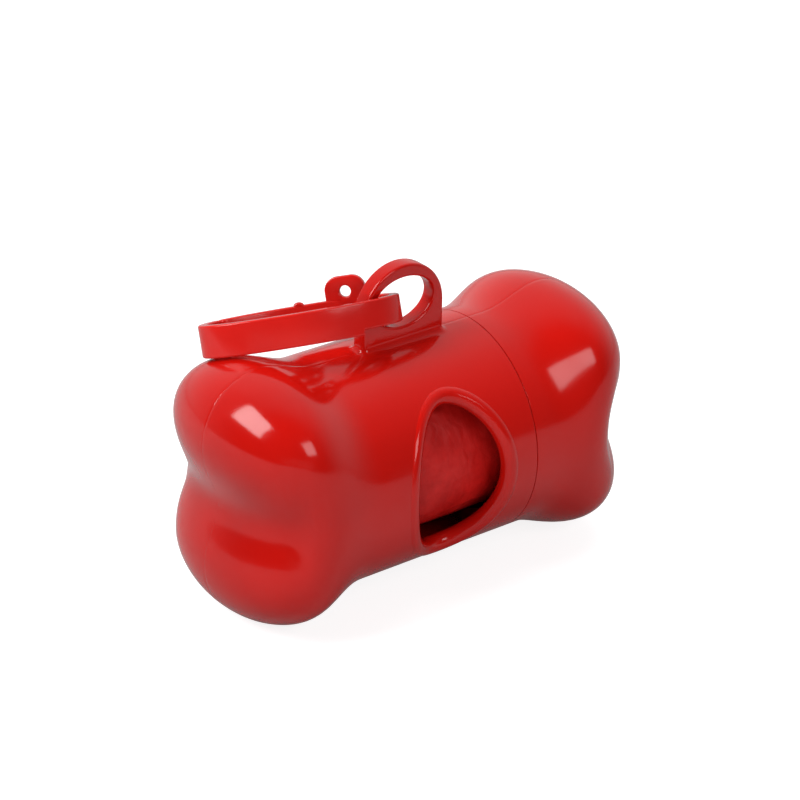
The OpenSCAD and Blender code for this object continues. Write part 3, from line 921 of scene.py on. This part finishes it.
def moulded_plastic(name, colour_at, colour_deep, roughness, relief=1.0):
    """Glossy moulded plastic: faint flow marks, a slightly uneven skin and fine handling scuffs."""
    n = Nodes(name)
    streaks = n.noise(22, detail=3, stretch=(0.35, 1, 1.6))
    clouds = n.between(n.noise(55, detail=2), 0.3, 0.7, 0.7, 1.3)
    share = n.between(n.math("MULTIPLY", streaks, clouds), 0.3, 0.75, 0, 1)
    scuffs = n.between(n.noise(420, detail=4, stretch=(0.25, 1, 1), rough=0.65), 0.55, 0.72, 0, 1)
    spots = n.noise(90, detail=3)
    worn = n.math("MULTIPLY", scuffs, n.between(spots, 0.5, 0.68, 0, 1))
    sheen = n.between(spots, 0.3, 0.7, roughness * 0.85, roughness * 1.2)
    waves = n.bump(n.noise(48, detail=1), 0.00006 * relief)
    n.set(
        Base_Color=n.blend(share, colour_at, colour_deep),
        Roughness=n.math("ADD", sheen, n.math("MULTIPLY", worn, 0.07)),
        Normal=n.bump(n.noise(2600, detail=2), 0.0000035 * relief, after=waves),
        IOR=1.46,
    )
    return n.material


def crinkled_film(name, look):
    """Thin crinkled film: glossy creases over a deeper red painted as shade in the folds."""
    n = Nodes(name)
    folds = n.noise(160, detail=4, stretch=(1, 0.7, 0.7), rough=0.6)
    wide = n.bump(n.between(n.cracks(120.0), 0, 0.25, 0, 1), 0.0001, 0.7)
    narrow = n.bump(n.between(n.cracks(300.0), 0, 0.2, 0, 1), 0.00005, 0.7, after=wide)
    n.set(
        # The fold mask paints a deeper red over the film as shade in its folds
        Base_Color=n.blend(n.between(folds, 0.35, 0.65, 0, 1), look.film, look.film_fold_shade),
        Roughness=n.between(folds, 0.3, 0.7, 0.4, 0.55),
        Normal=n.bump(n.noise(900, detail=3, stretch=(1, 0.3, 0.3)), 0.00006, 0.9, after=narrow),
        IOR=1.36,
    )
    return n.material


def grey_board(name, look):
    """Wound board tube: a spiral seam, fibres and a soft matt surface."""
    n = Nodes(name)
    fibres = n.noise(700, detail=5, stretch=(3, 1, 1), rough=0.7)
    clouds = n.noise(120, detail=3)
    wave = n.add("ShaderNodeTexWave", {"Vector": n.place, "Scale": 45.0, "Distortion": 1.5}).outputs["Fac"]
    deep = tuple(c * 0.72 for c in look.core)
    share = n.math("MULTIPLY", n.between(fibres, 0.3, 0.7, 0, 1), n.between(clouds, 0.3, 0.7, 0.5, 1))
    relief = n.bump(n.between(wave, 0.0, 0.08, 0, 1), 0.0001, 0.6)
    n.set(
        Base_Color=n.blend(share, look.core, deep),
        Roughness=n.between(fibres, 0.3, 0.7, 0.75, 0.95),
        Normal=n.bump(fibres, 0.00004, 0.8, after=relief),
    )
    return n.material


def dress(obj, material):
    obj.data.materials.clear()
    obj.data.materials.append(material)


def show(piece, material, body, slot, *nodes):
    """Gives a finished piece its material, its body and the CAD nodes it stands for. The slot is not used.
    """
    dress(piece, material)
    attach(piece, body)
    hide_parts(*nodes)


# ---- operators ----


class BAGDISPENSER_OT_housing(bpy.types.Operator):
    """Build the two shells of the housing, with the rolled rim of the opening and the arched lug"""

    bl_idname = "bag_dispenser.housing"
    bl_label = "Housing Shells"

    def execute(self, context):
        s, lug = context.scene.dispenser_bone, context.scene.dispenser_lug
        look = context.scene.dispenser_finishes
        red = moulded_plastic("glossy red shell", look.shell, look.shell_deep, look.roughness)
        skin = bone_skin(s)
        arch, cove = arched_lug(lug, s), lug_fillet(lug, s)
        for side, word in ((-1, "front"), (1, "rear")):
            shell = half_shell(skin, s, f"{word}_shell", keep_below=True, limit=SEAM_X, side=side)
            parts = [shell]
            if side < 0:
                cut_opening(shell, s)
                parts.append(rolled_rim(s))
            parts += [half_of(arch, side, "half_lug", hole=True), half_of(cove, side, "half_fillet")]
            shell = join(parts, f"bone_{word}_shell")
            smooth(shell)
            show(shell, red, "housing", "shell_red", f"housing_{word}_shell")
        for spare in (arch, cove):
            bpy.data.objects.remove(spare)
        for side, word in ((-1, "front"), (1, "rear")):
            shell = half_shell(skin, s, f"bone_cap_{word}", keep_below=False, limit=CAP_X, side=side)
            smooth(shell)
            show(shell, red, "cap", "shell_red", f"cap_{word}_shell")
        bpy.data.objects.remove(skin)
        return {"FINISHED"}


class BAGDISPENSER_OT_clip(bpy.types.Operator):
    """Build the oval clip ring with its spring tongue, and its gate with the perforated tab"""

    bl_idname = "bag_dispenser.clip"
    bl_label = "Clip"

    def execute(self, context):
        c, s = context.scene.dispenser_clip, context.scene.dispenser_bone
        look = context.scene.dispenser_finishes
        red = moulded_plastic("red clip", look.clip, look.clip_deep, look.roughness * 1.3, relief=1.6)
        place = clip_matrix(c, s)
        for parts, name, body, node in (
            ([clip_ring(c), spring_tongue(c)], "clip_strip", "clip", "clip_frame"),
            ([gate_strip(c), gate_tab(c), gate_pip(c)], "clip_gate_strip", "gate", "clip_gate"),
        ):
            piece = join(parts, name)
            piece.matrix_world = place
            bake_place(piece)
            smooth(piece, 40)
            show(piece, red, body, "clip_red", node)
        return {"FINISHED"}


class BAGDISPENSER_OT_roll(bpy.types.Operator):
    """Build the crinkled roll of bags and finish its core"""

    bl_idname = "bag_dispenser.roll"
    bl_label = "Roll of Bags"

    def execute(self, context):
        look = context.scene.dispenser_finishes
        film = film_roll(context.scene.dispenser_roll, context.scene.dispenser_bone)
        smooth(film, 60)
        show(film, crinkled_film("crinkled red film", look), "roll", "film", "bag_roll")
        dress(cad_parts["roll_core"], grey_board("grey board", look))
        return {"FINISHED"}


class BAGDISPENSER_OT_inner_parts(bpy.types.Operator):
    """Finish the neck ring and the cap's collar"""

    bl_idname = "bag_dispenser.inner_parts"
    bl_label = "Inner Parts"

    def execute(self, context):
        look = context.scene.dispenser_finishes
        deep = tuple(c * 0.75 for c in look.inner)
        plain = moulded_plastic("moulded red inner part", look.inner, deep, 0.28, relief=0.6)
        for node in ("neck_ring", "cap_collar"):
            dress(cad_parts[node], plain)
        return {"FINISHED"}


class BAGDISPENSER_OT_stage(bpy.types.Operator):
    """Set up the pale floor, the soft lamps and the camera"""

    bl_idname = "bag_dispenser.stage"
    bl_label = "Stage"

    def execute(self, context):
        scene, look = context.scene, context.scene.dispenser_stage
        height = axis_height(scene.dispenser_bone)
        self.camera(scene, look, height)
        self.floor(look)
        self.sky(scene)
        for lamp in LAMPS:
            self.lamp(height, *lamp)
        scene.view_settings.view_transform = "Standard"
        return {"FINISHED"}

    def camera(self, scene, look, height):
        a, e = look.azimuth, look.elevation
        back = Vector((sin(a) * cos(e), -cos(a) * cos(e), sin(e)))
        right = Vector((cos(a), sin(a), 0))
        up = back.cross(right)
        c, s = cos(look.roll), sin(look.roll)
        right, up = c * right + s * up, c * up - s * right
        target = Vector((0, 0, height)) + right * look.aim_right + up * look.aim_up
        data = bpy.data.cameras.new("camera")
        data.lens = look.lens
        data.sensor_width = 36
        data.clip_start = 0.01
        data.clip_end = 20
        camera = bpy.data.objects.new("camera", data)
        scene.collection.objects.link(camera)
        place = Matrix((right, up, back)).transposed().to_4x4()
        place.translation = target + back * look.distance
        camera.matrix_world = place
        scene.camera = camera

    def floor(self, look):
        deselect()
        bpy.ops.mesh.primitive_plane_add(size=look.floor_size, location=(0, 0, 0))
        floor = named(bpy.context.view_layer.objects.active, "floor")
        n = Nodes("pale floor")
        clouds = n.noise(6, detail=2)
        faint = tuple(0.985 * c for c in look.floor)
        n.set(Base_Color=n.blend(n.between(clouds, 0.3, 0.7, 0, 1), look.floor, faint), Roughness=0.9)
        ray = n.add("ShaderNodeLightPath")
        mirrored = n.math("MAXIMUM", ray.outputs["Is Glossy Ray"], ray.outputs["Is Transmission Ray"])
        seen = n.math("MAXIMUM", ray.outputs["Is Camera Ray"], n.math("MULTIPLY", mirrored, FLOOR_MIRRORED))
        n.set(Emission_Color=(1, 1, 1, 1), Emission_Strength=n.math("MULTIPLY", seen, look.floor_glow))
        dress(floor, n.material)

    def sky(self, scene):
        """White room behind the object, which darkens towards the camera's side."""
        world = bpy.data.worlds.new("studio")
        scene.world = world
        world.use_nodes = True
        tree = world.node_tree
        background = tree.nodes["Background"]
        place = tree.nodes.new("ShaderNodeTexCoord")
        dot = tree.nodes.new("ShaderNodeVectorMath")
        dot.operation = "DOT_PRODUCT"
        dot.inputs[1].default_value = ROOM_BRIGHTEST
        tree.links.new(place.outputs["Generated"], dot.inputs[0])
        fade = tree.nodes.new("ShaderNodeMapRange")
        fade.interpolation_type = "SMOOTHSTEP"
        for key, value in ROOM_FADE.items():
            fade.inputs[key].default_value = value
        tree.links.new(dot.outputs["Value"], fade.inputs["Value"])
        ray = tree.nodes.new("ShaderNodeLightPath")
        shown = tree.nodes.new("ShaderNodeMath")
        shown.operation = "MAXIMUM"
        tree.links.new(fade.outputs["Result"], shown.inputs[0])
        tree.links.new(ray.outputs["Is Camera Ray"], shown.inputs[1])
        tree.links.new(shown.outputs[0], background.inputs["Strength"])
        background.inputs["Color"].default_value = (1, 1, 1, 1)

    def lamp(self, height, name, azimuth, elevation, distance, width, depth, watts, mirrored):
        a, e = radians(azimuth), radians(elevation)
        way = Vector((sin(a) * cos(e), -cos(a) * cos(e), sin(e)))
        data = bpy.data.lights.new(name, "AREA")
        data.shape = "RECTANGLE"
        data.size, data.size_y = width, depth
        data.energy = watts
        lamp = bpy.data.objects.new(name, data)
        bpy.context.scene.collection.objects.link(lamp)
        lamp.location = Vector((0, 0, height)) + way * distance
        lamp.rotation_mode = "QUATERNION"
        lamp.rotation_quaternion = way.to_track_quat("Z", "Y")
        lamp.visible_glossy = mirrored


class BAGDISPENSER_PT_panel(bpy.types.Panel):
    """Sizes, finishes and build buttons of the dispenser"""

    bl_idname = "BAGDISPENSER_PT_panel"
    bl_label = "Bone Bag Dispenser"
    bl_space_type = "VIEW_3D"
    bl_region_type = "UI"
    bl_category = "Dispenser"

    def draw(self, context):
        layout = self.layout
        for operator in OPERATORS:
            layout.operator(operator.bl_idname)
        for group, name in SETTINGS:
            box = layout.box()
            box.label(text=group.bl_rna.name)
            settings = getattr(context.scene, name)
            for key in group.__annotations__:
                box.prop(settings, key)


SETTINGS = (
    (BoneSizes, "dispenser_bone"),
    (LugSizes, "dispenser_lug"),
    (ClipSizes, "dispenser_clip"),
    (RollSizes, "dispenser_roll"),
    (Finishes, "dispenser_finishes"),
    (StageLook, "dispenser_stage"),
)
OPERATORS = (
    BAGDISPENSER_OT_housing,
    BAGDISPENSER_OT_clip,
    BAGDISPENSER_OT_roll,
    BAGDISPENSER_OT_inner_parts,
    BAGDISPENSER_OT_stage,
)


def register():
    for cls in [group for group, _ in SETTINGS] + list(OPERATORS) + [BAGDISPENSER_PT_panel]:
        bpy.utils.register_class(cls)
    for group, name in SETTINGS:
        setattr(bpy.types.Scene, name, bpy.props.PointerProperty(type=group))


def unregister():
    for _, name in SETTINGS:
        delattr(bpy.types.Scene, name)
    for cls in reversed([group for group, _ in SETTINGS] + list(OPERATORS) + [BAGDISPENSER_PT_panel]):
        bpy.utils.unregister_class(cls)


def main():
    register()
    bpy.ops.bag_dispenser.housing()
    bpy.ops.bag_dispenser.clip()
    bpy.ops.bag_dispenser.roll()
    bpy.ops.bag_dispenser.inner_parts()
    bpy.ops.bag_dispenser.stage()


if __name__ == "__main__":
    main()
